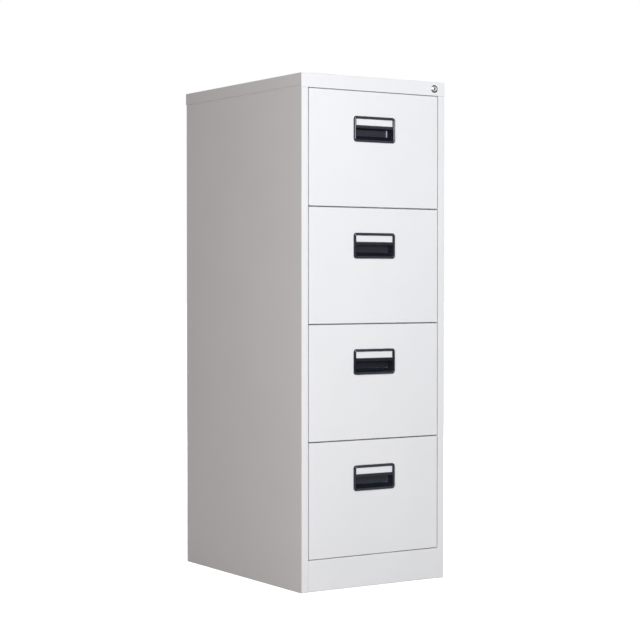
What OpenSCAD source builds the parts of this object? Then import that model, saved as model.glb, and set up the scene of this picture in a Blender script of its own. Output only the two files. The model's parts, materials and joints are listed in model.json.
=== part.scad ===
// Four-drawer vertical filing cabinet in folded, painted sheet steel.
//
// Frame: the origin is the middle of the footprint, on the floor. +X is to the right as seen
// from the front, +Y points to the back and +Z up. Inside the modules y = 0 is the face of the
// drawer fronts, and seat() moves the finished piece to its place.

/* [Cabinet] */
// Overall width, across the top cap
cab_w = 452; // [430:1:500]
// Depth from the drawer faces to the back of the top cap
cab_d = 620; // [560:5:700]
// Overall height
cab_h = 1330; // [1300:5:1400]
// Thickness of the sheet steel
sheet = 0.8; // [0.7:0.1:1.0]
// Outside radius of the folds
fold_r = 1.6; // [1.3:0.1:2.0]
// Width of each side panel's front edge
stile_w = 20; // [20:0.5:24]
// Height of the plinth under the bottom drawer
plinth_h = 82; // [80:0.5:100]

/* [Top cap] */
// Height of the fascia over the top drawer
fascia_h = 36.5; // [36:0.5:44]
// Height of the cap's skirt at the sides and the back
skirt_h = 31; // [27:1:34]
// How far the cap stands out past the back
cap_back = 3; // [2:0.5:6]
// How far the cap stands out past each side
cap_side = 0.4; // [0.3:0.1:1]

/* [Drawers] */
// Gap at each side of the drawer fronts
gap = 2.6; // [2:0.1:3.5]
// Gap between one drawer front and the next
row_gap = 3; // [2:0.1:3.5]
// Gap under the fascia
top_gap = 1.6; // [1.5:0.1:3.5]
// Gap over the plinth
foot_gap = 2; // [1.5:0.1:3.5]
// Depth of the folded drawer fronts
front_d = 16; // [14:0.5:16]
// Height of the drawer trays
tray_h = 258; // [200:1:260]
// Height of the telescopic slides
slide_h = 45.7; // [44:0.1:50]

/* [Handles] */
// Width of the handle moulding
handle_w = 130; // [110:1:160]
// Height of the handle moulding
handle_h = 67.5; // [65:0.5:76]
// Distance from a drawer front's top edge down to its handle
handle_drop = 64; // [40:0.5:120]
// Distance of the handles' centre line from the cabinet's middle, positive to the right
handle_x = -2; // [-20:1:20]
// Width of the handle's rounded rim
rim_w = 7.5; // [5.5:0.5:7.5]
// How far the rim stands out of the drawer face
rim_h = 4.5; // [4:0.1:5]
// Depth of the finger recess
recess_d = 15; // [14:1:20]

/* [Lock] */
// Distance from the cabinet's right side to the lock's axis
lock_inset = 34; // [32:1:40]
// Diameter of the lock's front flange
lock_flange_d = 21; // [21:0.5:24]
// Rise of the lock bar in a quarter turn of the key
bar_rise = 10; // [9:0.5:10]

/* [Hidden] */
$fn = 48;
over = 1;               // how far a cutting shape runs past the surface it cuts
seam = 0.15;            // hairline between butted sheets
drawers = [1, 2, 3, 4]; // 1 is the top drawer

// Carcass
rim_r = rim_w / 2;
front_y = rim_h - (cab_d + rim_h) / 2; // the rim stands in front of the drawer faces
body_w = cab_w - 2 * cap_side;
body_d = cab_d - cap_back;
open_w = body_w - 2 * stile_w;
side_in = body_w / 2 - sheet;  // inner face of the side panels
fascia_z = cab_h - fascia_h;
skirt_z = cab_h - skirt_h;
groove_h = 1.4;                // groove left under the cap's skirt
groove_front = 19;             // start of the groove behind the drawer faces
groove_back = 10;              // end of the groove short of the side's rear edge
stile_d = 14;                  // depth of the stile's return
back_in = body_d - 2 * sheet;  // inner face of the back panel
fit = 0.2;                     // side clearance of the panels that fit between others
floor_z = plinth_h - 10.5;     // underside of the floor pan

// Drawers
front_w = open_w - 2 * gap;
front_h = (fascia_z - plinth_h - top_gap - foot_gap - 3 * row_gap) / 4;
lip = 9;                       // lip around the back of a drawer front
tray_rise = 12;                // tray's underside above its front's bottom edge
slide_t = 12.7;
slide_y = 30;                  // front end of the slides
slide_len = 50 * floor((body_d - 60) / 50);
slide_rise = 120;              // slide's centre line above the front's bottom edge
travel = slide_len - 10;
tray_w = open_w - 2 * slide_t;
tray_back = slide_y + slide_len + 4;
rail_y = 18;                   // front face of the divider rails
function drawer_z(n) = plinth_h + foot_gap + (4 - n) * (front_h + row_gap);
function handle_z(n) = drawer_z(n) + front_h - handle_drop - handle_h;

// Handles: heights above the moulding's bottom edge
lip_bottom = handle_h - 32.3;
lip_top = lip_bottom + 8.7;
pocket_top = lip_top - 3;
cup_half = handle_w / 2 - rim_w; // half width of the recess at the drawer face
cup_wall = 2;
cup_taper = 0.42;              // narrowing of each side of the recess per unit of depth
cup_rise = 0.6;                // rise of its floor per unit of depth
cup_room = 0.4;                // clearance around the cup in the drawer front

// Slides, seen end on: distances inward from the face that is screwed to the upright, and
// heights above the centre line
member_t = 1.2;
ball_r = 2.25;
ball_room = 0.15;              // clearance between a ball and its race
race_step = 2 * (ball_r + ball_room);
outer_top = slide_h / 2;
middle_top = outer_top - member_t - race_step;
inner_top = middle_top - member_t - race_step;
cage_len = slide_len / 2 - 15;
cage_y = slide_y + travel / 4 + 10;
upright_w = 40;
upright_y = [24, slide_y + slide_len - 46];
rivet_y = [44, slide_y + slide_len - 26];
rivet_r = 2.5;

// Lock
lock_x = cab_w / 2 - lock_inset;
lock_z = cab_h - fascia_h / 2;
barrel_r = 9;
plug_r = 5.95;
barrel_len = 14;
cam_t = 2;
crank = bar_rise / sqrt(2);    // throw of the cam's pin, swinging from 45 below to 45 above
pin_r = 2;
bar_y = 18;
bar_t = 2;
bar_x = [open_w / 2 + 3.4, open_w / 2 + 17.4];
bar_foot = 110;
bar_rivet = [2, 3.5];          // radii of the ear's rivets and their heads
hook_t = 1.6;
hook_rise = 200;               // hook's underside above its drawer front's bottom edge
hook_x = open_w / 2 - 7.6;
pin_low = lock_z - bar_rise / 2;

PIECES = ["front", "tray", "handle", "hanging_rails", "lock_catch", "inner_slides",
          "middle_slides", "outer_ball_cages", "inner_ball_cages"];

paint = "whitesmoke";
zinc = "silver";
plastic = "midnightblue";

// ---------------------------------------------------------------- helpers

// Moves a piece from the drawer-face datum to the part's own frame
module seat() {
  translate([0, front_y, 0]) children();
}

// The children and their mirror image across the cabinet's middle
module both_sides() {
  for (m = [0, 1]) mirror([m, 0, 0]) children();
}

// Runs an outline drawn in (y, z) along x
module along_x(x0, x1) {
  translate([x0, 0, 0]) rotate([90, 0, 90]) linear_extrude(x1 - x0) children();
}

// Runs an outline drawn in (x, z) along y
module along_y(y0, y1) {
  translate([0, y1, 0]) rotate([90, 0, 0]) linear_extrude(y1 - y0) children();
}

// Round bar or hole along y
module rod_y(x, z, r, y0, y1) {
  translate([x, y1, z]) rotate([90, 0, 0]) cylinder(r = r, h = y1 - y0);
}

// Box between two corners
module box(a, b) {
  translate(a) cube(b - a);
}

// Rectangle between two corners
module rect(a, b) {
  translate(a) square(b - a);
}

// Rectangle between two corners, with rounded corners
module round_rect(a, b, r) {
  rect([a.x + r, a.y], [b.x - r, b.y]);
  rect([a.x, a.y + r], [b.x, b.y - r]);
  for (x = [a.x + r, b.x - r], y = [a.y + r, b.y - r]) translate([x, y]) circle(r);
}

// Outline of a closed sheet-metal box section between two corners
module section(a, b) {
  difference() {
    round_rect(a, b, fold_r);
    round_rect(a + [sheet, sheet], b - [sheet, sheet], fold_r - sheet);
  }
}

// Block between two corners with every edge folded to radius r
module fold_block(a, b, r) {
  intersection() {
    translate([0, 0, a.z]) linear_extrude(b.z - a.z) round_rect([a.x, a.y], [b.x, b.y], r);
    along_y(a.y, b.y) round_rect([a.x, a.z], [b.x, b.z], r);
    along_x(a.x, b.x) round_rect([a.y, a.z], [b.y, b.z], r);
  }
}

// Closed sheet-metal box between two corners
module fold_box(a, b) {
  s = [sheet, sheet, sheet];
  difference() {
    fold_block(a, b, fold_r);
    fold_block(a + s, b - s, fold_r - sheet);
  }
}

// ---------------------------------------------------------------- carcass

// Left side panel: one sheet folded into the front stile and the rear flange. Its top edge
// steps inward to tuck up inside the cap, which leaves a groove under the cap's skirt.
module side_panel() {
  left = -body_w / 2;
  top = skirt_z - seam;
  difference() {
    linear_extrude(top) difference() {
      section([left, 0], [left + stile_w, body_d]);
      rect([left + stile_w - fold_r, stile_d], [left + stile_w + over, body_d + over]);
    }
    box([left - over, -over, fascia_z - seam], [left + stile_w + over, fold_r + 0.2, top + over]);
    box([left - over, groove_front, top - groove_h],
        [left + sheet, body_d - groove_back, top + over]);
  }
  box([left + sheet, groove_front + 6, top - 6],
      [left + 2 * sheet, body_d - groove_back - 5, cab_h - sheet - seam]);
  box([left + sheet, sheet, 0], [left + stile_w - sheet, body_d - sheet, sheet]);
}

module left_side_panel() {
  color(paint) seat() side_panel();
}

module right_side_panel() {
  color(paint) seat() mirror([1, 0, 0]) side_panel();
}

// Back panel with three pressed stiffening swages
module back_panel() {
  half = side_in - fold_r; // clear of the side panels' rear folds
  outside = body_d - sheet;
  swage = [150, 7, 4]; // half length, radius and depth
  color(paint) seat() difference() {
    union() {
      box([-half, back_in, 2], [half, outside, cab_h - 2]);
      for (k = [1, 2, 3])
        along_y(outside - swage.z - sheet, outside)
          round_rect([-swage.x, k * cab_h / 4 - swage.y - sheet],
                     [swage.x, k * cab_h / 4 + swage.y + sheet], swage.y + sheet - 0.01);
    }
    for (k = [1, 2, 3])
      along_y(outside - swage.z, outside + over)
        round_rect([-swage.x + sheet, k * cab_h / 4 - swage.y],
                   [swage.x - sheet, k * cab_h / 4 + swage.y], swage.y - 0.01);
  }
}

// Top cap: a folded pan whose fascia hangs lower than its skirt and carries the lock
module top_cap() {
  half = cab_w / 2;
  flange_half = open_w / 2 - 1;
  color(paint) seat() difference() {
    union() {
      difference() {
        fold_box([-half, 0, fascia_z - 10], [half, cab_d, cab_h]);
        box([-half - over, -over, fascia_z - 12], [half + over, cab_d + over, fascia_z]);
        box([-half - over, fold_r, fascia_z - over], [half + over, cab_d + over, skirt_z]);
        box([-flange_half, -over, fascia_z - over], [flange_half, fold_r, fascia_z + fold_r]);
      }
      along_x(-flange_half, flange_half) intersection() {
        section([0, fascia_z], [stile_d + 10, fascia_z + 20]);
        union() {
          rect([0, fascia_z], [stile_d, fascia_z + sheet]);
          rect([0, fascia_z], [fold_r, fascia_z + fold_r + 0.5]);
        }
      }
    }
    rod_y(lock_x, lock_z, barrel_r + 0.25, -over, sheet + over);
  }
}

// Floor pan, with an upstand behind the bottom drawer's front
module floor_pan() {
  upstand = plinth_h + foot_gap + lip;
  half = open_w / 2 - fit;
  color(paint) seat() {
    along_x(-half, half) difference() {
      section([rail_y, floor_z], [body_d, upstand + 20]);
      rect([rail_y - over, upstand], [body_d + over, upstand + 21]);
      rect([back_in, floor_z - over], [body_d + over, upstand + over]);
    }
    both_sides() box([half, rail_y + 2, floor_z], [side_in, back_in, floor_z + sheet]);
  }
}

// Plinth between the stiles, set back a little and clear of the floor
module plinth_panel() {
  set_back = 1;
  half = open_w / 2 - fit;
  color(paint) seat() along_x(-half, half) difference() {
    section([set_back, 1], [40, plinth_h]);
    rect([rail_y, 0], [41, plinth_h + over]);
  }
}

// Channels across the opening between one drawer and the next
module divider_rails() {
  color(paint) seat() for (n = [1, 2, 3]) {
    z = drawer_z(n);
    along_x(-open_w / 2, open_w / 2) difference() {
      section([rail_y, z - 16], [rail_y + 30, z + lip]);
      rect([rail_y + 20, z - 20], [rail_y + 31, z + 20]);
    }
  }
}

// Pair of slide-mounting channels that stand on the floor pan
module upright_pair(y) {
  wall = 1.2;
  in = open_w / 2;
  bottom = floor_z + sheet;
  color(zinc) seat() both_sides() difference() {
    translate([0, 0, bottom]) linear_extrude(cab_h - 40 - bottom) {
      rect([in, y], [in + wall, y + upright_w]);
      for (edge = [y, y + upright_w - wall]) rect([in, edge], [side_in, edge + wall]);
      for (edge = [y, y + upright_w - 10]) rect([side_in - wall, edge], [side_in, edge + 10]);
    }
    for (n = drawers, ry = rivet_y) rivet_hole(n, ry);
  }
}

module rivet_hole(n, y) {
  translate([open_w / 2 - 5, y, drawer_z(n) + slide_rise])
    rotate([0, 90, 0]) cylinder(r = rivet_r + 0.05, h = 12);
}

module front_uprights() {
  upright_pair(upright_y[0]);
}

module rear_uprights() {
  upright_pair(upright_y[1]);
}

// Rivets that hold the slide channels to the uprights
module slide_rivets() {
  x = open_w / 2;
  head = [0.6, 4.5]; // thickness and radius
  color(zinc) seat() both_sides() for (n = drawers, y = rivet_y)
    translate([x, y, drawer_z(n) + slide_rise]) rotate([0, 90, 0]) {
      translate([0, 0, -member_t - head[0]]) cylinder(r = rivet_r, h = 4.5);
      translate([0, 0, -member_t - head[0]]) cylinder(r = head[1], h = head[0]);
      translate([0, 0, 1.2]) cylinder(r = head[1], h = 1.5);
    }
}

// Rubber buttons that the closed drawer fronts rest against
module drawer_bumpers() {
  color("dimgray") seat() both_sides() for (n = drawers)
    rod_y(150, drawer_z(n) + lip / 2, 4, front_d + 0.2, rail_y);
}

// ---------------------------------------------------------------- slides

// Channel section of one slide member on the left: x runs inward from the upright
module member_section(back, front, top) {
  rect([back, -top], [back + member_t, top]);
  for (z = [-top, top - member_t]) rect([back, z], [front, z + member_t]);
}

// One slide member for drawer n on the left side, with its section drawn at the upright's face
module slide_member(n, y0, y1) {
  translate([-open_w / 2, 0, drawer_z(n) + slide_rise]) along_y(y0, y1) children();
}

// Fixed outer channels, riveted to the left uprights
module slide_channels() {
  difference() {
    for (n = drawers) slide_member(n, slide_y, slide_y + slide_len)
      member_section(0, slide_t - 1.6, outer_top);
    mirror([1, 0, 0]) for (n = drawers, y = rivet_y) rivet_hole(n, y);
  }
}

module left_slide_channels() {
  color(zinc) seat() slide_channels();
}

module right_slide_channels() {
  color(zinc) seat() mirror([1, 0, 0]) slide_channels();
}

// Middle members of drawer n's two slides
module middle_slides(n) {
  color(zinc) seat() both_sides() slide_member(n, slide_y, slide_y + slide_len)
    member_section(3.1, slide_t - 1.6, middle_top);
}

// Inner members of drawer n's two slides, on the tray's walls
module inner_slides(n) {
  color(zinc) seat() both_sides() slide_member(n, slide_y, slide_y + slide_len) {
    rect([slide_t - member_t, -inner_top], [slide_t, inner_top]);
    for (z = [-inner_top, inner_top - member_t]) rect([slide_t - 6.9, z], [slide_t, z + member_t]);
  }
}

// Ball cages: a strip that wraps a member, and the balls between it and the next member.
// web is the cage's distance from the upright, and ball_x the balls', top the height of the
// balls' centres.
module ball_cages(n, web, ball_x, top) {
  strip_t = 0.5;
  pitch = 60;
  ball_y = [for (k = [0:3]) cage_y + (cage_len - 3 * pitch) / 2 + k * pitch];
  color("lightgray") seat() both_sides() {
    difference() {
      slide_member(n, cage_y, cage_y + cage_len) {
        rect([web, -top - strip_t / 2], [web + strip_t, top + strip_t / 2]);
        for (z = [-top, top])
          rect([web, z - strip_t / 2], [ball_x + ball_r + 0.4, z + strip_t / 2]);
      }
      cage_places(n, ball_x, top, ball_y) cylinder(r = ball_r + 0.05, h = 2, center = true);
    }
    cage_places(n, ball_x, top, ball_y) sphere(ball_r);
  }
}

module cage_places(n, ball_x, top, ball_y) {
  for (y = ball_y, z = [-top, top])
    translate([-open_w / 2 + ball_x, y, drawer_z(n) + slide_rise + z]) children();
}

module outer_ball_cages(n) {
  ball_cages(n, 2.2, 7, middle_top + race_step / 2);
}

module inner_ball_cages(n) {
  ball_cages(n, 4.7, 8.2, inner_top + race_step / 2);
}

// ---------------------------------------------------------------- drawers

// Folded drawer front: a shallow box with a lip around its open back and a cut-out for the
// handle's finger recess
module drawer_front(n) {
  z = drawer_z(n);
  half = front_w / 2;
  cut = cup_wall + cup_room;
  color(paint) seat() difference() {
    fold_box([-half, 0, z], [half, front_d, z + front_h]);
    box([-half + lip, front_d - sheet - 1, z + lip],
        [half - lip, front_d + over, z + front_h - lip]);
    box([handle_x - cup_half - cut, -over, handle_z(n) + rim_w - cut],
        [handle_x + cup_half + cut, sheet + over, handle_z(n) + pocket_top + cut]);
  }
}

// Tray: a folded trough with in-turned top edges, end walls, and flanges that are welded to
// the inside of the drawer front
module tray(n) {
  half = tray_w / 2;
  bottom = drawer_z(n) + tray_rise;
  top = bottom + tray_h;
  turn = 6;
  color(paint) seat() {
    along_y(sheet, tray_back) difference() {
      section([-half, bottom], [half, top]);
      rect([-half + turn, top - sheet - over], [half - turn, top + over]);
    }
    along_y(slide_y, slide_y + sheet)
      rect([-half + sheet, bottom + sheet], [half - sheet, top + 14]);
    along_y(tray_back - sheet, tray_back)
      rect([-half + sheet, bottom + sheet], [half - sheet, top - sheet]);
    both_sides() along_y(sheet, 2 * sheet) rect([half - 0.1, bottom + 4], [half + 8, top - 4]);
  }
}

// Bars that the hanging files hook over
module hanging_rails(n) {
  half = tray_w / 2;
  top = drawer_z(n) + tray_rise + tray_h;
  color(zinc) seat() both_sides()
    box([half - 3.9, slide_y + sheet, top], [half - 2.4, tray_back, top + 13]);
}

// Bracket on the right of the front's lip, whose turned-down tip stops behind a lock hook
module lock_catch(n) {
  plate = 1.2;
  z = drawer_z(n) + hook_rise;
  tip_y = bar_y + bar_t + hook_t + 1.7;
  color(zinc) seat() along_x(hook_x - 1, open_w / 2 - gap - 0.2) {
    rect([front_d, z + 30], [front_d + plate, z + 52]);
    rect([front_d, z + 30], [tip_y + plate, z + 30 + plate]);
    rect([tip_y, z + 20], [tip_y + plate, z + 30 + plate]);
  }
}

// ---------------------------------------------------------------- handles

// Handle: a half-round rim, an open label window over a lip, and a finger recess that
// narrows to the back, with a sloping floor and a pocket up behind the lip
module handle(n) {
  color(plastic) seat() translate([handle_x, 0, handle_z(n)]) {
    rim();
    lip_bar();
    difference() {
      cup(cup_wall);
      cup_space();
    }
    handle_clips();
  }
}

// Rim: rounded bars with a quarter ring at each corner
module rim() {
  corner_r = 8;
  x = handle_w / 2 - corner_r;
  z = handle_h / 2 - corner_r;
  bend = corner_r - rim_r;
  intersection() {
    box([-handle_w, -rim_w, -over], [handle_w, 0, handle_h + over]);
    translate([0, 0, handle_h / 2]) {
      for (s = [-1, 1]) {
        translate([s * (x + bend), 0, -z]) linear_extrude(2 * z) mirror([0, 1]) rim_outline();
        along_x(-x, x) translate([0, s * (z + bend)]) rotate(90) rim_outline();
      }
      for (q = [0:3])
        rotate([90, 0, 0]) translate([(q == 0 || q == 3 ? x : -x), (q < 2 ? z : -z), 0])
          rotate(90 * q) rotate_extrude(angle = 90) translate([bend, 0]) rim_outline();
    }
  }
}

// Rim seen end on, standing up along y
module rim_outline() {
  translate([0, rim_h - rim_r]) circle(rim_r);
  rect([-rim_r, -over], [rim_r, rim_h - rim_r]);
}

// Lip between the label window and the recess
module lip_bar() {
  r = 2;
  proud = rim_h - 1.5;
  half = handle_w / 2 - rim_r;
  along_x(-half, half) intersection() {
    rect([-rim_w, 0], [0, handle_h]);
    union() {
      rect([-proud, lip_bottom + r], [0, lip_top - r]);
      rect([-proud + r, lip_bottom], [0, lip_top]);
      for (z = [lip_bottom + r, lip_top - r]) translate([-proud + r, z]) circle(r);
    }
  }
}

// Outside of the cup: the recess grown by its wall thickness
module cup(wall) {
  depth = recess_d + wall;
  half = cup_half + wall;
  intersection() {
    along_x(-half, half)
      polygon([[0, rim_w - wall], [depth, rim_w - wall + cup_rise * depth],
               [depth, pocket_top + wall], [0, pocket_top + wall]]);
    linear_extrude(handle_h)
      polygon([[-half, 0], [half, 0], [half - cup_taper * depth, depth],
               [-half + cup_taper * depth, depth]]);
  }
}

// Hollow of the cup, open through the drawer face
module cup_space() {
  face = 3; // thickness of the wall behind the lip
  intersection() {
    along_x(-cup_half, cup_half)
      polygon([[-rim_w, rim_w], [0, rim_w], [recess_d, rim_w + cup_rise * recess_d],
               [recess_d, pocket_top], [face, pocket_top], [face, lip_bottom],
               [-rim_w, lip_bottom]]);
    linear_extrude(handle_h)
      polygon([[-cup_half, -rim_w], [cup_half, -rim_w], [cup_half, 0],
               [cup_half - cup_taper * recess_d, recess_d],
               [-cup_half + cup_taper * recess_d, recess_d], [-cup_half, 0]]);
  }
}

// Barbs that snap behind the edges of the drawer front's cut-out
module handle_clips() {
  reach = 1.3;
  start = sheet + 0.1;
  end = 6;
  top = pocket_top + cup_wall;
  under = rim_w - cup_wall; // underside of the cup at the drawer face
  for (x = [-35, 35]) along_x(x - 5, x + 5) {
    polygon([[start, top - 0.5], [start, top + reach], [end, top], [end, top - 0.5]]);
    polygon([[start, under + cup_rise * start + 0.5], [start, under - reach],
             [end, under + cup_rise * end + 0.1], [end, under + cup_rise * end + 0.8]]);
  }
}

// ---------------------------------------------------------------- lock

// Moves a shape drawn around z to the lock's axis, with +z pointing into the cabinet
module on_lock_axis() {
  translate([lock_x, 0, lock_z]) rotate([-90, 0, 0]) children();
}

// Housing: a domed front flange around the plug, and the barrel that passes through the fascia
module lock_housing() {
  bore = plug_r + 0.05;
  flange = lock_flange_d / 2;
  dome_r = 8.1;
  dome = [for (t = [8:5.5:41]) [flange - 5.32 + dome_r * sin(t), 5.62 - dome_r * cos(t)]];
  color("gainsboro") seat() on_lock_axis() rotate_extrude()
    polygon(concat([[bore, -2.1], [bore + 0.25, -2.4]], dome,
                   [[flange, -0.45], [flange, 0], [barrel_r, 0], [barrel_r, barrel_len],
                    [bore, barrel_len]]));
}

// Hexagon nut that clamps the housing to the fascia
module lock_nut() {
  color(zinc) seat() on_lock_axis() translate([0, 0, sheet]) difference() {
    cylinder(r = 13, h = 4, $fn = 6);
    translate([0, 0, -over]) cylinder(r = barrel_r + 0.05, h = 6);
  }
}

// Plug with its key slot, and a threaded bore for the cam's screw
module lock_plug() {
  tail = barrel_len + 0.2;
  color("gainsboro") seat() on_lock_axis() difference() {
    translate([0, 0, -2]) cylinder(r = plug_r, h = tail + 2);
    box([-1.1, -3.4, -3], [1.1, 3.4, 8]);
    translate([0, 0, tail - 5]) cylinder(r = 1.6, h = 6);
  }
}

// Cam with the crank pin that lifts the lock bar
module lock_cam() {
  y = barrel_len + 0.2;
  color(zinc) seat() on_lock_axis() rotate(45) {
    translate([0, 0, y]) difference() {
      linear_extrude(cam_t) {
        circle(7);
        rect([0, -4], [crank, 4]);
        translate([crank, 0]) circle(4);
      }
      translate([0, 0, -over]) cylinder(r = 1.6, h = 5);
    }
    translate([crank, 0, y]) cylinder(r = pin_r, h = bar_y + bar_t + hook_t + 1.5 - y);
  }
}

// Low-headed screw that holds the cam on the plug
module lock_cam_screw() {
  y = barrel_len + 0.2 + cam_t;
  color(zinc) seat() on_lock_axis() {
    translate([0, 0, y - 6]) cylinder(r = 1.55, h = 6);
    translate([0, 0, y]) cylinder(r = 3.2, h = 1.3);
  }
}

// Lock bar: a flat strip behind the right stile
module lock_bar() {
  color(zinc) seat() difference() {
    box([bar_x[0], bar_y, bar_foot], [bar_x[1], bar_y + bar_t, pin_low + 6]);
    ear_rivets() rod_y(0, 0, bar_rivet[0] + 0.05, bar_y - over, bar_y + bar_t + over);
  }
}

// Slotted ear riveted to the back of the lock bar, which the cam's pin lifts
module lock_bar_ear() {
  y = bar_y + bar_t;
  slot_h = 2 * pin_r + 0.7;
  slot_x = [lock_x + bar_rise / 2 - pin_r - 0.5, lock_x + crank + pin_r + 0.6];
  color(zinc) seat() {
    along_y(y, y + hook_t) difference() {
      rect([slot_x[0] - 3, pin_low - 6], [bar_x[1], pin_low + 6]);
      rect([slot_x[0], pin_low - slot_h / 2], [slot_x[1], pin_low + slot_h / 2]);
    }
    ear_rivets() {
      rod_y(0, 0, bar_rivet[0], bar_y - 0.5, y + 0.1);
      rod_y(0, 0, bar_rivet[1], bar_y - 1, bar_y);
    }
  }
}

module ear_rivets() {
  for (x = [bar_x[0] + 4, bar_x[1] - 4]) translate([x, 0, pin_low]) children();
}

// Hooks on the back of the lock bar, one below each drawer's catch
module lock_hooks() {
  y = bar_y + bar_t;
  color(zinc) seat() for (n = drawers) {
    z = drawer_z(n) + hook_rise;
    along_y(y, y + hook_t) {
      rect([hook_x, z], [bar_x[1], z + 8]);
      rect([hook_x, z], [hook_x + 5, z + 18]);
    }
  }
}

// Nylon guides that the lock bar slides through
module lock_bar_guides() {
  room = 0.2;
  half_h = 7;
  color("ghostwhite") seat() for (n = drawers) {
    z = drawer_z(n) + 60;
    difference() {
      box([open_w / 2 + 0.9, bar_y - 3, z - half_h], [side_in, upright_y[0], z + half_h]);
      box([bar_x[0] - room, bar_y - room, z - half_h - over],
          [bar_x[1] + room, bar_y + bar_t + room, z + half_h + over]);
    }
  }
}

// ---------------------------------------------------------------- nodes

left_side_panel();
right_side_panel();
back_panel();
top_cap();
floor_pan();
plinth_panel();
divider_rails();
front_uprights();
rear_uprights();
left_slide_channels();
right_slide_channels();
slide_rivets();
drawer_bumpers();
lock_housing();
lock_nut();
lock_plug();
lock_cam();
lock_cam_screw();
lock_bar();
lock_bar_ear();
lock_hooks();
lock_bar_guides();
for (n = drawers) {
  drawer_front(n);
  tray(n);
  handle(n);
  hanging_rails(n);
  lock_catch(n);
  inner_slides(n);
  middle_slides(n);
  outer_ball_cages(n);
  inner_ball_cages(n);
}
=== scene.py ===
"""A four-drawer steel filing cabinet: sheet-metal skins, handles and a lock on the CAD frame.

Sizes are in metres, in the CAD frame: +X right, +Y to the back, +Z up, floor at z = 0.
"""

import json
import math

import bmesh
import bpy
from mathutils import Matrix, Vector


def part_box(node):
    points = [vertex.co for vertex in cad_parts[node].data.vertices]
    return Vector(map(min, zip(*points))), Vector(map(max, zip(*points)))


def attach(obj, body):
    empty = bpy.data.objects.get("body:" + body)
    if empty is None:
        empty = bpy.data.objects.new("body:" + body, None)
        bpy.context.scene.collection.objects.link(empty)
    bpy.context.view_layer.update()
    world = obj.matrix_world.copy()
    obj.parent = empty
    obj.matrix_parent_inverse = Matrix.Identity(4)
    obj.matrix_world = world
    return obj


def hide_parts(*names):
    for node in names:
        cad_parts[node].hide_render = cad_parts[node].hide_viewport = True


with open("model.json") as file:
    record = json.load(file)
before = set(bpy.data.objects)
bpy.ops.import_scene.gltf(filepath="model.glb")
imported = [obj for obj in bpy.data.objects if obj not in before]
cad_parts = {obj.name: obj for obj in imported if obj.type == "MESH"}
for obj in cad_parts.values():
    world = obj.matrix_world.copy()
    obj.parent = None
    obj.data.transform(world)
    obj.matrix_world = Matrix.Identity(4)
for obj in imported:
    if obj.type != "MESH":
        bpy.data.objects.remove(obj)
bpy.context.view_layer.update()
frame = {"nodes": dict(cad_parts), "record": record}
BODY_OF = {n: body for body, nodes in frame["record"]["behaviour"]["bodies"].items()
           for n in nodes}
SLOT_OF = {s["node"]: s["material_slot"] for s in frame["record"]["subparts"]}

MM = 0.001
TOUCH = 1e-6             # points closer than this are in one place
NEAR = 1e-5              # a face or edge this close to a plane is on it

# Sheet metal
SHEET = 0.8 * MM
FOLD = 1.6 * MM          # outside radius of the sheet-metal folds
FOLD_STEPS = 6
SEAM = 0.4 * MM          # hairline between butted sheets
SKIRT = 31 * MM          # height of the top cap's skirt
GROOVE = 1.4 * MM        # height of the step under the skirt
GROOVE_RISE = 0.9 * MM   # height of its slope
GROOVE_FRONT = 19 * MM   # how far it stays clear of the side's front and rear edges
GROOVE_BACK = 10 * MM
RETURN = 14 * MM         # depth of the flanges behind the stiles and the fascia
PLINTH_FLOOR = 15 * MM   # depth of the fold under the plinth
LIP = 9 * MM             # lip around the back of a drawer front
BARREL_HOLE = 9.25 * MM  # radius of the fascia's hole for the lock
DRAWERS = (1, 2, 3, 4)

# Handles
RIM_R = 3.75 * MM        # half the rim's width
RIM_UP = 4.48 * MM       # how far the rim stands out
RIM_CORNER = 8 * MM      # outer radius of its corners
LIP_LOW = 35.2 * MM      # the lip's underside and top, above the handle's bottom edge
LIP_HIGH = 43.9 * MM
LIP_UP = 3 * MM          # how far the lip stands out
LIP_BACK = 3 * MM        # how far it reaches behind the drawer's face
POCKET = LIP_HIGH - 3 * MM   # the recess's ceiling, above the handle's bottom edge
CUP_WALL = 2 * MM
CUP_ROOM = 0.4 * MM      # clearance round the recess in the drawer front
TAPER = 0.42             # how fast the recess narrows, and its floor rises, with depth
RISE = 0.6

# Lock
BORE = 6 * MM            # radii of the housing's bore and barrel
BARREL = 9 * MM
THREAD = MM              # pitch and depth of the barrel's thread
THREAD_DEPTH = 0.35 * MM
DOME = 8.1 * MM          # radius of the flange's domed ring, and where its centre is:
DOME_IN = 5.32 * MM      # in from the flange's edge,
DOME_BACK = 8.02 * MM    # and behind the lock's face
KEYWAY = (1.1 * MM, 3.4 * MM)   # the keyway's half width and half height
FUNNEL = (2.6 * MM, 4.2 * MM)   # the same at the plug's face
KEYWAY_DEPTH = 10 * MM
FUNNEL_DEPTH = 1.6 * MM
SCREW = 1.6 * MM         # radius and depth of the hole for the cam's screw
SCREW_DEPTH = 5 * MM
ON_AXIS = 0.001 * MM     # a turned outline starts this close to its axis

# Light
FILL = 0.235             # strength and colour of the light from all round
FILL_COLOUR = (1.0, 0.873, 0.827)
FLOOR_BOUNCE = 0.3       # how much light the floor throws back

cap_lo, cap_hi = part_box("top_cap")
FRONT_Y = cap_lo.y       # the plane of the drawer faces
FASCIA_Z = cap_lo.z
SKIRT_Z = cap_hi.z - SKIRT


# ---------------------------------------------------------------- mesh helpers


def arc(centre, radius, start, end, steps):
    """Points on an arc in a plane, angles in degrees."""
    turn = [math.radians(start + (end - start) * k / steps) for k in range(steps + 1)]
    return [(centre[0] + radius * math.cos(a), centre[1] + radius * math.sin(a)) for a in turn]


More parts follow.
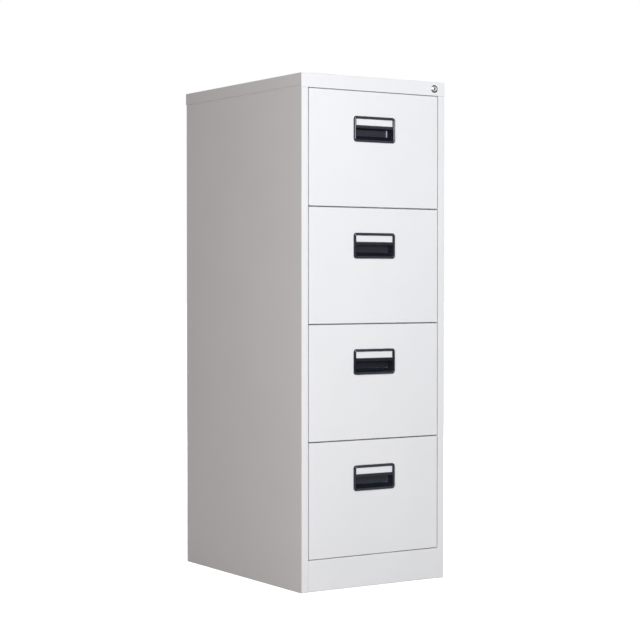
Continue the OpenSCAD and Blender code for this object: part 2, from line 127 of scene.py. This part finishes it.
def fold_path(points, radius=FOLD, steps=FOLD_STEPS):
    """An open outline through the points, with each inner corner rounded to the radius."""
    path = [Vector(points[0])]
    for before, corner, after in zip(points, points[1:], points[2:]):
        corner = Vector(corner)
        a = (Vector(before) - corner).normalized()
        b = (Vector(after) - corner).normalized()
        half = a.angle(b) / 2
        centre = corner + (a + b).normalized() * radius / math.sin(half)
        first = corner + a * radius / math.tan(half) - centre
        last = corner + b * radius / math.tan(half) - centre
        path += [centre + first.normalized().slerp(last.normalized(), k / steps) * radius
                 for k in range(steps + 1)]
    return path + [Vector(points[-1])]


def round_rect(half_w, low, high, radius, steps):
    """A closed loop of (x, z) points, anticlockwise from the right-hand bottom corner."""
    loop = []
    corners = ((half_w, low, -90), (half_w, high, 0), (-half_w, high, 90), (-half_w, low, 180))
    for x, z, start in corners:
        cx = x - math.copysign(radius, x)
        cz = z + radius if z == low else z - radius
        loop += arc((cx, cz), radius, start, start + 90, steps)
    return loop


def new_object(name, bm):
    """An object from a bmesh, which is freed."""
    mesh = bpy.data.meshes.new(name)
    bm.to_mesh(mesh)
    bm.free()
    obj = bpy.data.objects.new(name, mesh)
    bpy.context.scene.collection.objects.link(obj)
    return obj


def settle(obj):
    """Turns the object's modifiers into its mesh."""
    graph = bpy.context.evaluated_depsgraph_get()
    mesh = bpy.data.meshes.new_from_object(obj.evaluated_get(graph))
    old = obj.data
    obj.modifiers.clear()
    obj.data = mesh
    mesh.name = obj.name
    bpy.data.meshes.remove(old)
    return obj


def shade(obj, angle=32):
    """Smooth shading that keeps corners sharp and flat faces flat."""
    mesh = obj.data
    mesh.polygons.foreach_set("use_smooth", [True] * len(mesh.polygons))
    mesh.set_sharp_from_angle(angle=math.radians(angle))
    weighted = obj.modifiers.new("flat faces", "WEIGHTED_NORMAL")
    weighted.keep_sharp = True
    return obj


def thicken(obj, thickness=SHEET):
    """Gives a surface its sheet's thickness, on the side away from its normals."""
    solid = obj.modifiers.new("sheet", "SOLIDIFY")
    solid.thickness = thickness
    solid.offset = -1
    solid.use_even_offset = True
    return shade(settle(obj))


def run_along(path, start, end, place):
    """A bmesh strip: the path's (u, v) points swept from start to end, each put by place."""
    bm = bmesh.new()
    rows = [[bm.verts.new(place(p[0], p[1], w)) for p in path] for w in (start, end)]
    for k in range(len(path) - 1):
        bm.faces.new((rows[0][k], rows[0][k + 1], rows[1][k + 1], rows[1][k]))
    return bm


def cut(bm, point, normal, keep=None):
    """Scores the mesh along a plane, so that faces on its two sides can be told apart."""
    geometry = bm.verts[:] + bm.edges[:] + bm.faces[:]
    if keep is not None:
        faces = [f for f in bm.faces if keep(f.calc_center_median())]
        edges = [e for f in faces for e in f.edges]
        verts = [v for f in faces for v in f.verts]
        geometry = list(dict.fromkeys(faces + edges + verts))
    bmesh.ops.bisect_plane(bm, geom=geometry, dist=TOUCH, plane_co=point, plane_no=normal)


def drop_faces(bm, where):
    """Deletes the faces whose middle is where the test says."""
    gone = [f for f in bm.faces if where(f.calc_center_median())]
    bmesh.ops.delete(bm, geom=gone, context="FACES")


def extrude_edges(bm, edges, move):
    """Extrudes edges by a vector and returns the new ones."""
    made = bmesh.ops.extrude_edge_only(bm, edges=edges)["geom"]
    verts = [g for g in made if isinstance(g, bmesh.types.BMVert)]
    bmesh.ops.translate(bm, vec=move, verts=verts)
    new = set(verts)
    return [g for g in made if isinstance(g, bmesh.types.BMEdge) and set(g.verts) <= new]


def face_out(bm, axis, sign):
    """Turns all normals the same way, so that the largest face looks along the signed axis."""
    bmesh.ops.recalc_face_normals(bm, faces=bm.faces)
    if max(bm.faces, key=lambda f: f.calc_area()).normal[axis] * sign < 0:
        bmesh.ops.reverse_faces(bm, faces=bm.faces)


def folded_block(low, high, open_bottom=False):
    """A box surface between two corners with its folded edges rounded."""
    bm = bmesh.new()
    bmesh.ops.create_cube(bm, size=1)
    bmesh.ops.scale(bm, vec=high - low, verts=bm.verts)
    bmesh.ops.translate(bm, vec=(high + low) / 2, verts=bm.verts)
    edges = bm.edges[:]
    if open_bottom:
        edges = [e for e in edges if max(v.co.z for v in e.verts) > low.z + MM]
    bmesh.ops.bevel(bm, geom=edges, offset=FOLD, segments=FOLD_STEPS, profile=0.5,
                    affect="EDGES", clamp_overlap=False)
    return bm


def lathe(profile, steps):
    """A bmesh turned round the y axis from (radius, y) points."""
    bm = bmesh.new()
    turn = [2 * math.pi * k / steps for k in range(steps)]
    rings = [[bm.verts.new((radius * math.cos(a), y, radius * math.sin(a))) for a in turn]
             for radius, y in profile]
    for near, far in zip(rings, rings[1:]):
        for k in range(steps):
            j = (k + 1) % steps
            bm.faces.new((near[k], far[k], far[j], near[j]))
    bmesh.ops.recalc_face_normals(bm, faces=bm.faces)
    return bm


def carve(obj, tool):
    """Cuts the tool out of the object, and deletes the tool."""
    bpy.context.view_layer.update()
    boolean = obj.modifiers.new("cut", "BOOLEAN")
    boolean.operation = "DIFFERENCE"
    boolean.solver = "EXACT"
    boolean.object = tool
    obj.modifiers.move(len(obj.modifiers) - 1, 0)
    for modifier in obj.modifiers[1:]:
        obj.modifiers.remove(modifier)
    settle(obj)
    bpy.data.objects.remove(tool)


def stand_in(obj, node, material):
    """Puts the object in a CAD node's place, on its body and with the material."""
    obj.data.materials.clear()
    obj.data.materials.append(material)
    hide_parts(node)
    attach(obj, BODY_OF[node])


# ---------------------------------------------------------------- materials


def new_material(name):
    """A material with its node tree, its shader and its object coordinates."""
    material = bpy.data.materials.new(name)
    material.use_nodes = True
    nodes, links = material.node_tree.nodes, material.node_tree.links
    shader = nodes["Principled BSDF"]
    where = nodes.new("ShaderNodeTexCoord").outputs["Object"]
    return material, nodes, links, shader, where


def noise(nodes, links, where, scale, detail=2.0, stretch=None):
    """A noise texture's value, with features about 1 / scale metres wide."""
    if stretch:
        mapping = nodes.new("ShaderNodeMapping")
        mapping.inputs["Scale"].default_value = stretch
        links.new(where, mapping.inputs["Vector"])
        where = mapping.outputs["Vector"]
    texture = nodes.new("ShaderNodeTexNoise")
    texture.inputs["Scale"].default_value = scale
    texture.inputs["Detail"].default_value = detail
    links.new(where, texture.inputs["Vector"])
    return texture.outputs["Fac"]


def blend_of(nodes, links, factor, low, high, steps=(0.3, 0.7)):
    """A colour that goes from low to high as the factor rises."""
    ramp = nodes.new("ShaderNodeValToRGB")
    for element, place, colour in zip(ramp.color_ramp.elements, steps, (low, high)):
        element.position = place
        element.color = (*colour, 1)
    links.new(factor, ramp.inputs["Fac"])
    return ramp.outputs["Color"]


def span_of(nodes, links, factor, low, high):
    """A number that goes from low to high as the factor rises from 0.3 to 0.7."""
    change = nodes.new("ShaderNodeMapRange")
    change.inputs["From Min"].default_value = 0.3
    change.inputs["From Max"].default_value = 0.7
    change.inputs["To Min"].default_value = low
    change.inputs["To Max"].default_value = high
    links.new(factor, change.inputs["Value"])
    return change.outputs["Result"]


def bump(nodes, links, shader, height, distance, strength=1.0, under=None):
    """Raises the surface by a height of 0 to 1 times distance, over another bump if given."""
    node = nodes.new("ShaderNodeBump")
    node.inputs["Strength"].default_value = strength
    node.inputs["Distance"].default_value = distance
    links.new(height, node.inputs["Height"])
    if under is not None:
        links.new(under, node.inputs["Normal"])
    links.new(node.outputs["Normal"], shader.inputs["Normal"])
    return node.outputs["Normal"]


def powder_coat(name, colour, rough=(0.34, 0.46)):
    """White powder coat: orange peel, a finer grain, and slight drift in tone and gloss."""
    material, nodes, links, shader, where = new_material(name)
    tone = noise(nodes, links, where, 5, 4)
    dark = tuple(c * 0.975 for c in colour)
    links.new(blend_of(nodes, links, tone, dark, colour), shader.inputs["Base Color"])
    gloss = noise(nodes, links, where, 60, 3)
    links.new(span_of(nodes, links, gloss, *rough), shader.inputs["Roughness"])
    peel = bump(nodes, links, shader, noise(nodes, links, where, 420, 1), 0.03 * MM, 0.5)
    bump(nodes, links, shader, noise(nodes, links, where, 2600, 1), 0.008 * MM, 0.5, peel)
    shader.inputs["Specular IOR Level"].default_value = 0.45
    return material


def moulded_plastic(name, colour):
    """Glossy moulded plastic with faint flow marks and fine handling scratches."""
    material, nodes, links, shader, where = new_material(name)
    flow = noise(nodes, links, where, 45, 3, (1, 1, 2.5))
    pale = tuple(c * 1.5 + 0.002 for c in colour)
    links.new(blend_of(nodes, links, flow, colour, pale), shader.inputs["Base Color"])
    rub = noise(nodes, links, where, 900, 4, (0.25, 1, 1))
    links.new(span_of(nodes, links, rub, 0.1, 0.18), shader.inputs["Roughness"])
    bump(nodes, links, shader, noise(nodes, links, where, 700, 2), 0.01 * MM, 0.5)
    shader.inputs["Specular IOR Level"].default_value = 0.7
    shader.inputs["Specular Tint"].default_value = (0.8, 0.87, 1.0, 1)
    shader.inputs["Coat Weight"].default_value = 1.0
    shader.inputs["Coat Roughness"].default_value = 0.06
    shader.inputs["Coat Tint"].default_value = (0.8, 0.87, 1.0, 1)
    return material


def plated_steel(name, colour, grain=(1, 0.04, 1), rough=(0.24, 0.4)):
    """Zinc-plated or bright steel strip, with rolling marks and a mottled bloom."""
    material, nodes, links, shader, where = new_material(name)
    bloom = noise(nodes, links, where, 38, 5)
    dull = tuple(c * 0.82 for c in colour)
    links.new(blend_of(nodes, links, bloom, dull, colour), shader.inputs["Base Color"])
    marks = noise(nodes, links, where, 1500, 3, grain)
    links.new(span_of(nodes, links, marks, *rough), shader.inputs["Roughness"])
    bump(nodes, links, shader, marks, 0.01 * MM, 0.6)
    shader.inputs["Metallic"].default_value = 1.0
    return material


def chrome(name, colour, rough=(0.06, 0.13)):
    """Polished plate with the faint swirl of a polishing mop."""
    material, nodes, links, shader, where = new_material(name)
    haze = noise(nodes, links, where, 220, 3)
    dull = tuple(c * 0.93 for c in colour)
    links.new(blend_of(nodes, links, haze, dull, colour), shader.inputs["Base Color"])
    swirl = noise(nodes, links, where, 2200, 2)
    links.new(span_of(nodes, links, swirl, *rough), shader.inputs["Roughness"])
    shader.inputs["Metallic"].default_value = 1.0
    return material


def soft_moulding(name, colour, rough, grain):
    """Nylon or rubber: an even colour with a matt, slightly grainy skin."""
    material, nodes, links, shader, where = new_material(name)
    tone = noise(nodes, links, where, 90, 3)
    dark = tuple(c * 0.85 for c in colour)
    links.new(blend_of(nodes, links, tone, dark, colour), shader.inputs["Base Color"])
    links.new(span_of(nodes, links, tone, rough, rough + 0.12), shader.inputs["Roughness"])
    bump(nodes, links, shader, noise(nodes, links, where, grain, 3), 0.02 * MM, 0.5)
    return material


WHITE = (0.83, 0.835, 0.845)
MATERIALS = {
    "carcass_paint": powder_coat("carcass powder coat", WHITE),
    "drawer_paint": powder_coat("drawer powder coat", WHITE),
    "tray_paint": powder_coat("tray powder coat", (0.81, 0.815, 0.82), (0.4, 0.52)),
    "handle_plastic": moulded_plastic("handle plastic", (0.0137, 0.014, 0.0175)),
    "zinc_plate": plated_steel("zinc plate", (0.66, 0.68, 0.71)),
    "cage_steel": plated_steel("bright strip", (0.74, 0.74, 0.75), rough=(0.16, 0.3)),
    "lock_chrome": chrome("lock chrome", (0.72, 0.73, 0.77)),
    "lock_nickel": chrome("lock nickel", (0.44, 0.435, 0.44), (0.2, 0.3)),
    "nylon": soft_moulding("natural nylon", (0.74, 0.74, 0.7), 0.45, 900),
    "rubber": soft_moulding("black rubber", (0.03, 0.03, 0.032), 0.65, 1400),
}


# ---------------------------------------------------------------- sheet-metal pieces


def side_panel(side):
    """One folded side panel: foot flange, stile, rear flange and the step under the cap."""
    node = "left_side_panel" if side < 0 else "right_side_panel"
    low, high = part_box(node)
    outer, inner = (low.x, high.x) if side < 0 else (high.x, low.x)
    top = SKIRT_Z - SEAM
    path = fold_path([(inner, low.y + RETURN), (inner, low.y), (outer, low.y),
                      (outer, high.y), (inner + side * FOLD, high.y)])
    bm = run_along(path, low.z, top, lambda x, y, z: (x, y, z))
    step_z = top - GROOVE
    step_y = (low.y + GROOVE_FRONT, high.y - GROOVE_BACK)
    near_top, long_edge = top - 40 * MM, 100 * MM
    # scored round the step and the stile's top, which then come out
    cut(bm, (0, 0, near_top), (0, 0, 1))
    cut(bm, (0, 0, step_z), (0, 0, 1))
    cut(bm, (0, 0, FASCIA_Z - SEAM), (0, 0, 1), lambda c: c.y < low.y + FOLD + MM)
    for y in step_y:
        cut(bm, (0, y, 0), (0, 1, 0), lambda c: c.z > near_top)
    on_side = abs(outer) - SHEET
    drop_faces(bm, lambda c: c.z > step_z and step_y[0] < c.y < step_y[1]
               and abs(c.x) > on_side)
    drop_faces(bm, lambda c: c.z > FASCIA_Z - SEAM and c.y < low.y + FOLD)
    # the sheet steps in by its thickness and runs on up behind the skirt
    edge = [e for e in bm.edges if e.is_boundary
            and all(abs(v.co.z - step_z) < NEAR and abs(v.co.x) > on_side for v in e.verts)
            and all(step_y[0] - NEAR < v.co.y < step_y[1] + NEAR for v in e.verts)]
    edge = extrude_edges(bm, edge, (-side * SHEET, 0, GROOVE_RISE))
    extrude_edges(bm, edge, (0, 0, high.z - step_z - GROOVE_RISE))
    # the foot flange turns in from the long bottom edge
    foot = [e for e in bm.edges if e.is_boundary
            and all(abs(v.co.z - low.z) < TOUCH and abs(v.co.x) > on_side for v in e.verts)
            and abs(e.verts[0].co.y - e.verts[1].co.y) > long_edge]
    extrude_edges(bm, foot, (-side * (abs(outer - inner) - 2 * SHEET), 0, 0))
    face_out(bm, 0, side)
    panel = thicken(new_object(f"{node}_sheet", bm))
    stand_in(panel, node, MATERIALS["carcass_paint"])


def top_cap():
    """The cap: a folded pan, a deeper fascia with a turned-in edge, and the lock's hole."""
    bm = folded_block(cap_lo, cap_hi, open_bottom=True)
    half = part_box("divider_rails")[1].x - MM
    on_front = FRONT_Y + NEAR
    # the block loses its bottom, and all that hangs below the skirt except the fascia
    drop_faces(bm, lambda c: c.z < cap_lo.z + TOUCH)
    cut(bm, (0, 0, SKIRT_Z), (0, 0, 1))
    cut(bm, (0, FRONT_Y + FOLD, 0), (0, 1, 0), lambda c: c.z < SKIRT_Z)
    drop_faces(bm, lambda c: c.z < SKIRT_Z and c.y > FRONT_Y + FOLD)
    # the fascia's lower edge is cut off between the stiles and turned in
    low_front = FASCIA_Z + FOLD
    cut(bm, (0, 0, low_front), (0, 0, 1), lambda c: c.z < SKIRT_Z and c.y < on_front)
    for x in (-half, half):
        cut(bm, (x, 0, 0), (1, 0, 0), lambda c: c.z < low_front and c.y < on_front)
    drop_faces(bm, lambda c: c.z < low_front and abs(c.x) < half and c.y < on_front)
    edge = [e for e in bm.edges if e.is_boundary
            and all(abs(v.co.z - low_front) < TOUCH for v in e.verts)]
    turn = arc((FOLD, FOLD), FOLD, 180, 270, FOLD_STEPS) + [(RETURN, 0)]
    for here, there in zip(turn, turn[1:]):
        edge = extrude_edges(bm, edge, (0, there[0] - here[0], there[1] - here[1]))
    bmesh.ops.remove_doubles(bm, verts=bm.verts, dist=TOUCH)
    face_out(bm, 2, 1)
    cap = thicken(new_object("top_cap_sheet", bm))
    low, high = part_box("lock_housing")
    middle, reach = (low + high) / 2, 5 * MM
    drill = new_object("drill", lathe([(ON_AXIS, -reach), (BARREL_HOLE, -reach),
                                       (BARREL_HOLE, reach), (ON_AXIS, reach)], 64))
    drill.location = (middle.x, FRONT_Y, middle.z)
    carve(cap, drill)
    shade(cap)
    stand_in(cap, "top_cap", MATERIALS["carcass_paint"])


def drawer_front(n):
    """A drawer front: a folded box with a lip round its open back and a hole for the handle."""
    node = f"drawer_{n}_front"
    low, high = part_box(node)
    cup_lo, cup_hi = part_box(f"drawer_{n}_handle")
    room = CUP_WALL + CUP_ROOM
    half = (cup_hi.x - cup_lo.x) / 2 - 2 * RIM_R + room
    middle = (cup_lo.x + cup_hi.x) / 2
    hole_z = (cup_lo.z + 2 * RIM_R - room, cup_lo.z + POCKET + room)
    bm = folded_block(low, high)
    back, face = high.y - NEAR, low.y + NEAR
    for x in (low.x + LIP, high.x - LIP):
        cut(bm, (x, 0, 0), (1, 0, 0), lambda c: c.y > back)
    for z in (low.z + LIP, high.z - LIP):
        cut(bm, (0, 0, z), (0, 0, 1), lambda c: c.y > back)
    drop_faces(bm, lambda c: c.y > back and low.x + LIP < c.x < high.x - LIP
               and low.z + LIP < c.z < high.z - LIP)
    for x in (middle - half, middle + half):
        cut(bm, (x, 0, 0), (1, 0, 0), lambda c: c.y < face)
    for z in hole_z:
        cut(bm, (0, 0, z), (0, 0, 1), lambda c: c.y < face)
    drop_faces(bm, lambda c: c.y < face and abs(c.x - middle) < half
               and hole_z[0] < c.z < hole_z[1])
    front = thicken(new_object(f"{node}_sheet", bm))
    stand_in(front, node, MATERIALS["drawer_paint"])


def plinth():
    """The plinth: a sheet with its top and bottom edges folded back."""
    low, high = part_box("plinth_panel")
    path = fold_path([(low.y + PLINTH_FLOOR, low.z), (low.y, low.z), (low.y, high.z),
                      (high.y, high.z)])
    bm = run_along(path, low.x, high.x, lambda y, z, x: (x, y, z))
    face_out(bm, 1, -1)
    panel = thicken(new_object("plinth_panel_sheet", bm))
    stand_in(panel, "plinth_panel", MATERIALS["carcass_paint"])


# ---------------------------------------------------------------- handles




def rim(bm, half, height):
    """The rounded rim, swept round a rounded rectangle."""
    loop = round_rect(half - RIM_R, RIM_R, height - RIM_R, RIM_CORNER - RIM_R, 10)
    count = len(loop)
    outline = [(-RIM_R, 0)] + arc((0, RIM_UP - RIM_R), RIM_R, 180, 0, 16) + [(RIM_R, 0)]
    rings = []
    for k, point in enumerate(loop):
        before, after = Vector(loop[k - 1]), Vector(loop[(k + 1) % count])
        along = (after - before).normalized()
        out = Vector((along.y, -along.x))
        rings.append([bm.verts.new((point[0] + out.x * w, -up, point[1] + out.y * w))
                      for w, up in outline])
    for k in range(count):
        near, far = rings[k], rings[(k + 1) % count]
        for j in range(len(outline) - 1):
            bm.faces.new((near[j], near[j + 1], far[j + 1], far[j]))
        bm.faces.new((near[-1], near[0], far[0], far[-1]))


def pull_lip(bm, half):
    """The lip over the recess, rounded at its upper, lower and rear edges."""
    upper, lower, rear = 2 * MM, 1.7 * MM, 1.2 * MM
    outline = (arc((upper - LIP_UP, LIP_HIGH - upper), upper, 90, 180, 6)
               + arc((lower - LIP_UP, LIP_LOW + lower), lower, 180, 270, 6)
               + arc((LIP_BACK - rear, LIP_LOW + rear), rear, 270, 360, 5)
               + [(LIP_BACK, LIP_HIGH - MM), (0, LIP_HIGH - 0.5 * MM), (0, LIP_HIGH)])
    rows = [[bm.verts.new((x, y, z)) for y, z in outline] for x in (-half, half)]
    count = len(outline)
    for k in range(count):
        j = (k + 1) % count
        bm.faces.new((rows[0][k], rows[0][j], rows[1][j], rows[1][k]))
    bm.faces.new(rows[0])
    bm.faces.new(rows[1][::-1])


def rounding(y, end, radius):
    """How far a fillet of the radius stands in from a wall, near the wall's end."""
    into = y - (end - radius)
    return radius - math.sqrt(max(0, radius ** 2 - into ** 2)) if into > 0 else 0


def finger_cup(half, depth):
    """The recess as a bmesh surface, lofted from its mouth, round the lip, to its back wall."""
    corner, low = 1.2 * MM, 2 * RIM_R
    upright, flat = 3 * MM, 0.8 * MM     # fillets of the back wall's upright and level edges
    # each station is a depth and the ceiling's height there, which rises behind the lip
    stations = [(0, LIP_LOW), (1.8 * MM, LIP_LOW), (2.6 * MM, LIP_LOW + 0.5 * MM),
                (3 * MM, LIP_LOW + 2 * MM), (3.4 * MM, POCKET - MM), (5 * MM, POCKET),
                (8 * MM, POCKET), (depth - upright, POCKET)]
    turn = [math.radians(9 * k) for k in range(1, 11)]
    stations += [(depth - upright * (1 - math.sin(a)), POCKET) for a in turn]
    bm = bmesh.new()
    loops = []
    for y, top in stations:
        side, end = rounding(y, depth, upright), rounding(y, depth, flat)
        loop = round_rect(half - TAPER * y - side, low + RISE * y + end, top - end, corner, 5)
        loops.append([bm.verts.new((x, y, z)) for x, z in loop])
    count = len(loops[0])
    for near, far in zip(loops, loops[1:]):
        for k in range(count):
            j = (k + 1) % count
            bm.faces.new((near[k], near[j], far[j], far[k]))
    bm.faces.new(loops[-1])
    bmesh.ops.recalc_face_normals(bm, faces=bm.faces)
    if max(bm.faces, key=lambda f: f.calc_center_median().y).normal.y > 0:
        bmesh.ops.reverse_faces(bm, faces=bm.faces)
    return bm


def handle(n):
    """One handle moulding: rim, open label window, lip and finger recess."""
    node = f"drawer_{n}_handle"
    low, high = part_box(node)
    half, height = (high.x - low.x) / 2, high.z - low.z
    cup = new_object("cup", finger_cup(half - 2 * RIM_R, high.y - FRONT_Y - CUP_WALL))
    thicken(cup, CUP_WALL)
    cup.modifiers.clear()
    bm = bmesh.new()
    rim(bm, half, height)
    pull_lip(bm, half - RIM_R)
    bmesh.ops.recalc_face_normals(bm, faces=bm.faces)
    bm.from_mesh(cup.data)
    bpy.data.objects.remove(cup)
    bmesh.ops.translate(bm, vec=((low.x + high.x) / 2, FRONT_Y, low.z), verts=bm.verts)
    moulding = shade(new_object(f"{node}_moulding", bm), 40)
    stand_in(moulding, node, MATERIALS["handle_plastic"])


# ---------------------------------------------------------------- lock


def lock_flange():
    """The lock's housing: a domed flange and the threaded barrel."""
    low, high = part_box("lock_housing")
    radius, middle = (high.x - low.x) / 2, (low + high) / 2
    face, length = low.y - FRONT_Y, high.y - FRONT_Y
    outline = [(BORE, length), (BORE, face + 0.3 * MM), (BORE + 0.08 * MM, face + 0.1 * MM),
               (BORE + 0.25 * MM, face)]
    outline += arc((radius - DOME_IN, face + DOME_BACK), DOME, -82, -49, 11)
    outline += [(radius, -0.4 * MM), (radius, 0), (BARREL, 0), (BARREL, SHEET)]
    for k in range(int((length - SHEET) / THREAD)):
        outline += [(BARREL - THREAD_DEPTH, SHEET + (k + 0.5) * THREAD),
                    (BARREL, SHEET + (k + 1) * THREAD)]
    outline += [(BARREL - 0.4 * MM, length), (BORE, length)]
    bm = lathe(outline, 72)
    bmesh.ops.remove_doubles(bm, verts=bm.verts, dist=TOUCH)
    bmesh.ops.translate(bm, vec=(middle.x, FRONT_Y, middle.z), verts=bm.verts)
    housing = shade(new_object("lock_housing_turned", bm), 40)
    stand_in(housing, "lock_housing", MATERIALS["lock_nickel"])


def lock_plug():
    """The lock's plug, with a funnelled keyway and the hole for the cam's screw."""
    low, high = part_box("lock_plug")
    radius, edge, middle = (high.x - low.x) / 2, 0.3 * MM, (low + high) / 2
    face, end = low.y - FRONT_Y, high.y - FRONT_Y
    outline = [(ON_AXIS, face), (radius - edge, face), (radius, face + edge), (radius, end),
               (SCREW, end), (SCREW, end - SCREW_DEPTH), (ON_AXIS, end - SCREW_DEPTH)]
    plug = new_object("lock_plug_turned", lathe(outline, 72))
    bm = bmesh.new()
    rings = []
    in_front = (-MM, (3.5 * MM, 4.7 * MM))    # the cutter starts clear of the plug's face
    for y, (half_w, half_h) in (in_front, (0, FUNNEL), (FUNNEL_DEPTH, KEYWAY),
                                (KEYWAY_DEPTH, KEYWAY)):
        corners = ((half_w, -half_h), (half_w, half_h), (-half_w, half_h), (-half_w, -half_h))
        rings.append([bm.verts.new((x, face + y, z)) for x, z in corners])
    for near, far in zip(rings, rings[1:]):
        for k in range(4):
            bm.faces.new((near[k], near[k - 3], far[k - 3], far[k]))
    bm.faces.new(rings[0])
    bm.faces.new(rings[-1])
    bmesh.ops.recalc_face_normals(bm, faces=bm.faces)
    carve(plug, new_object("keyway", bm))
    plug.data.transform(Matrix.Translation((middle.x, FRONT_Y, middle.z)))
    shade(plug)
    stand_in(plug, "lock_plug", MATERIALS["lock_chrome"])


# ---------------------------------------------------------------- stage


def studio():
    """A floor and surroundings that are white to the eye but light the cabinet only weakly."""
    disc = bmesh.new()
    bmesh.ops.create_circle(disc, cap_ends=True, segments=96, radius=60)
    floor = new_object("studio_floor", disc)
    floor.location.z = -0.2 * MM
    material, nodes, links, shader, where = new_material("studio floor")
    tone = noise(nodes, links, where, 3, 3)
    links.new(blend_of(nodes, links, tone, (0.88, 0.88, 0.88), (0.9, 0.9, 0.9)),
              shader.inputs["Base Color"])
    shader.inputs["Roughness"].default_value = 0.9
    shader.inputs["Emission Color"].default_value = (1, 1, 1, 1)
    shader.inputs["Emission Strength"].default_value = 0.9
    dim = nodes.new("ShaderNodeBsdfDiffuse")
    dim.inputs["Color"].default_value = (*[FLOOR_BOUNCE] * 3, 1)
    seen_directly(nodes, links, dim.outputs["BSDF"], shader.outputs["BSDF"],
                  nodes["Material Output"])
    floor.data.materials.append(material)
    world = bpy.data.worlds.new("studio")
    bpy.context.scene.world = world
    world.use_nodes = True
    nodes, links = world.node_tree.nodes, world.node_tree.links
    fill = nodes["Background"]
    fill.inputs["Color"].default_value = (*FILL_COLOUR, 1)
    fill.inputs["Strength"].default_value = FILL
    white = nodes.new("ShaderNodeBackground")
    white.inputs["Color"].default_value = (1, 1, 1, 1)
    seen_directly(nodes, links, fill.outputs["Background"], white.outputs["Background"],
                  nodes["World Output"])


def seen_directly(nodes, links, other, direct, output):
    """Shows one shader where it is seen directly, and lights the scene with another."""
    path = nodes.new("ShaderNodeLightPath")
    mix = nodes.new("ShaderNodeMixShader")
    links.new(path.outputs["Is Camera Ray"], mix.inputs["Fac"])
    links.new(other, mix.inputs[1])
    links.new(direct, mix.inputs[2])
    links.new(mix.outputs["Shader"], output.inputs["Surface"])


def area_light(name, place, target, size, power, colour):
    """A soft rectangular light at place, aimed at target, of a (width, height) size."""
    data = bpy.data.lights.new(name, "AREA")
    data.shape = "RECTANGLE"
    data.size, data.size_y = size
    data.energy = power
    data.color = colour
    light = bpy.data.objects.new(name, data)
    bpy.context.scene.collection.objects.link(light)
    light.location = place
    light.rotation_euler = (Vector(target) - Vector(place)).to_track_quat("-Z", "Y").to_euler()
    return light


def lights():
    """A wide, high key light, a side light, a card for the lock to reflect, and a rim light."""
    middle = (0, 0, 0.66)
    area_light("key", (-0.3, -3.8, 2.1), middle, (3.2, 1.6), 104.5, (0.917, 0.964, 1.0))
    side = area_light("side", (-2.4, -2.2, 1.0), middle, (0.9, 0.9), 34, (1.0, 0.954, 0.943))
    side.visible_glossy = False    # it brightens the side but isn't seen in the handles
    area_light("card", (2.96, -4.07, 2.15), (0.19, -0.31, 1.31), (1.0, 0.7), 4.2, (1, 1, 1))
    area_light("rim", (2.6, 3.2, 2.4), middle, (1.6, 1.6), 90, (1.0, 0.985, 0.97))


def camera():
    """A long lens at desk height, off the cabinet's front-left corner."""
    data = bpy.data.cameras.new("camera")
    data.lens = 97.94
    data.sensor_width = 36
    cam = bpy.data.objects.new("camera", data)
    bpy.context.scene.collection.objects.link(cam)
    cam.location = (-2.5759, FRONT_Y - 3.7606, 0.799)
    yaw, pitch = math.radians(32.607), math.radians(-1.277)
    cam.rotation_euler = (math.pi / 2 + pitch, 0, -yaw)
    bpy.context.scene.camera = cam


# ---------------------------------------------------------------- build

# every CAD piece takes its slot's material, the ones replaced below among them
for name, obj in frame["nodes"].items():
    obj.data.materials.clear()
    obj.data.materials.append(MATERIALS[SLOT_OF[name]])

side_panel(-1)
side_panel(1)
top_cap()
plinth()
for number in DRAWERS:
    drawer_front(number)
    handle(number)
lock_flange()
lock_plug()
studio()
lights()
camera()
bpy.context.scene.view_settings.view_transform = "Standard"
